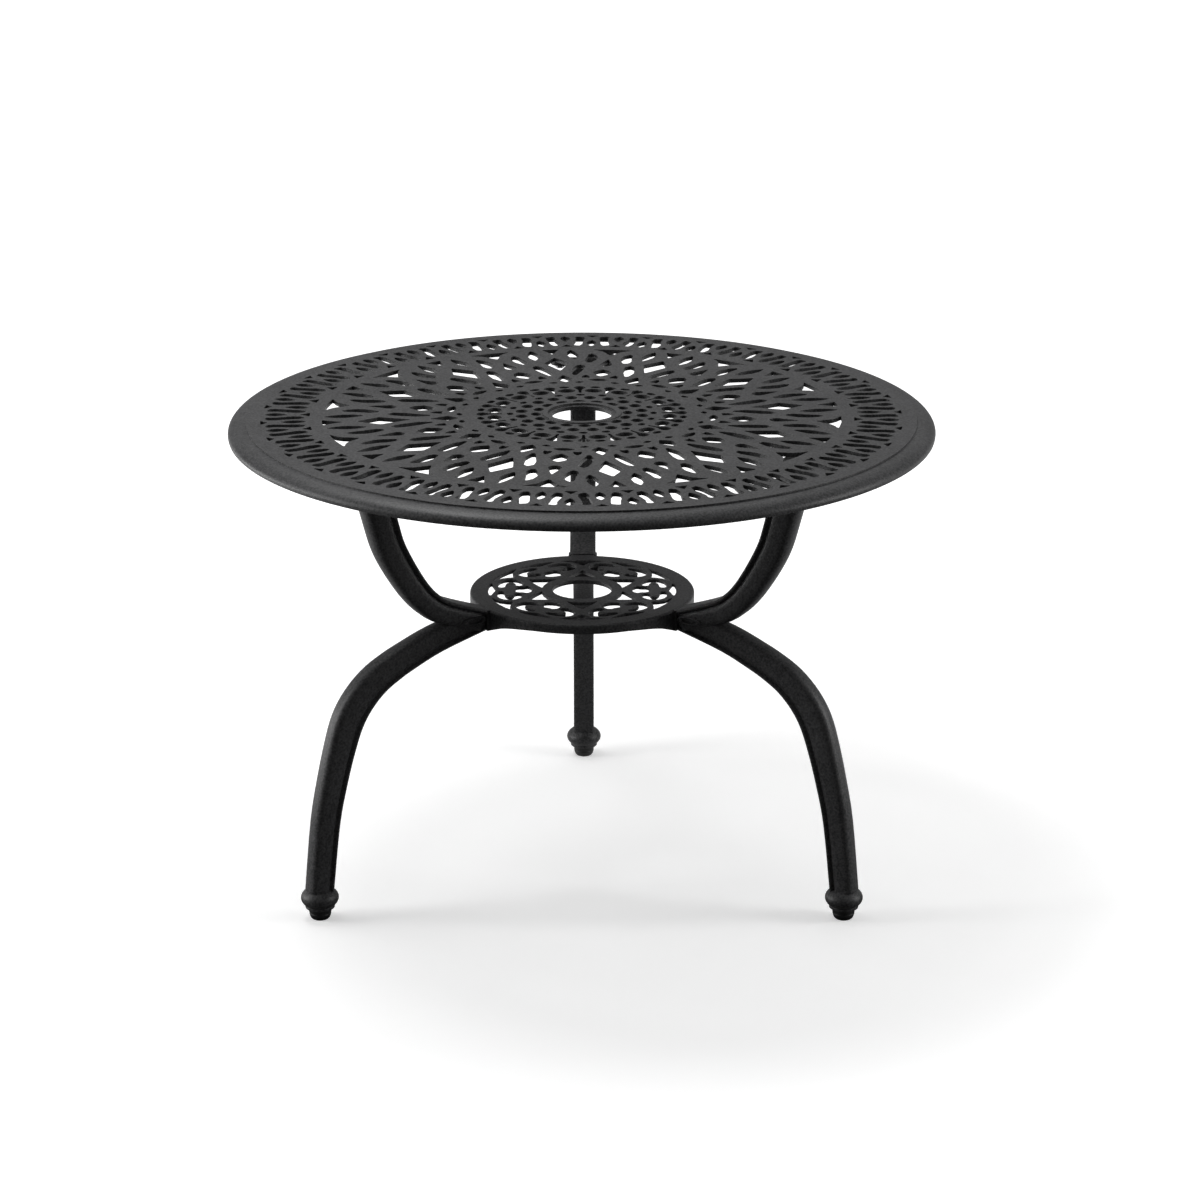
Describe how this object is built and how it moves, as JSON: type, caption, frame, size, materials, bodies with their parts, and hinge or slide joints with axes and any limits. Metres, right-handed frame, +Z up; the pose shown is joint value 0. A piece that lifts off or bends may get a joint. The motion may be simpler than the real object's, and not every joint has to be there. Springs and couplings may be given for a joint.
{
  "type": "umbrella table",
  "caption": "Round cast metal garden table with a pierced top, umbrella hole, small pierced shelf and forked curved legs on screw-in levelling feet.",
  "frame": {"origin": "on the floor below the centre of the round top", "axes": "+Z up; one leg points along +Y, away from the picture's viewer; +X to the picture's right"},
  "size_m": [1.07, 1.07, 0.7333],
  "materials": {
    "cast_paint": "fine textured semi-matt charcoal powder coat",
    "zinc_steel": "dull zinc plate",
    "glide_plastic": "moulded black plastic"
  },
  "bodies": {
    "table_frame": {"table_top": "cast_paint", "shelf": "cast_paint", "leg_1": "cast_paint", "top_screw_1a": "zinc_steel", "top_screw_1b": "zinc_steel", "shelf_screw_1": "zinc_steel", "leg_2": "cast_paint", "top_screw_2a": "zinc_steel", "top_screw_2b": "zinc_steel", "shelf_screw_2": "zinc_steel", "leg_3": "cast_paint", "top_screw_3a": "zinc_steel", "top_screw_3b": "zinc_steel", "shelf_screw_3": "zinc_steel"},
    "foot_1": {"foot_stud_1": "zinc_steel", "foot_glide_1": "glide_plastic"},
    "foot_2": {"foot_stud_2": "zinc_steel", "foot_glide_2": "glide_plastic"},
    "foot_3": {"foot_stud_3": "zinc_steel", "foot_glide_3": "glide_plastic"}
  },
  "joints": [
    {"name": "foot_1_height", "type": "slide", "parent": "table_frame", "child": "foot_1", "axis": [0, 0, -1], "range_m": [0, 0.01]},
    {"name": "foot_2_height", "type": "slide", "parent": "table_frame", "child": "foot_2", "axis": [0, 0, -1], "range_m": [0, 0.01]},
    {"name": "foot_3_height", "type": "slide", "parent": "table_frame", "child": "foot_3", "axis": [0, 0, -1], "range_m": [0, 0.01]}
  ]
}
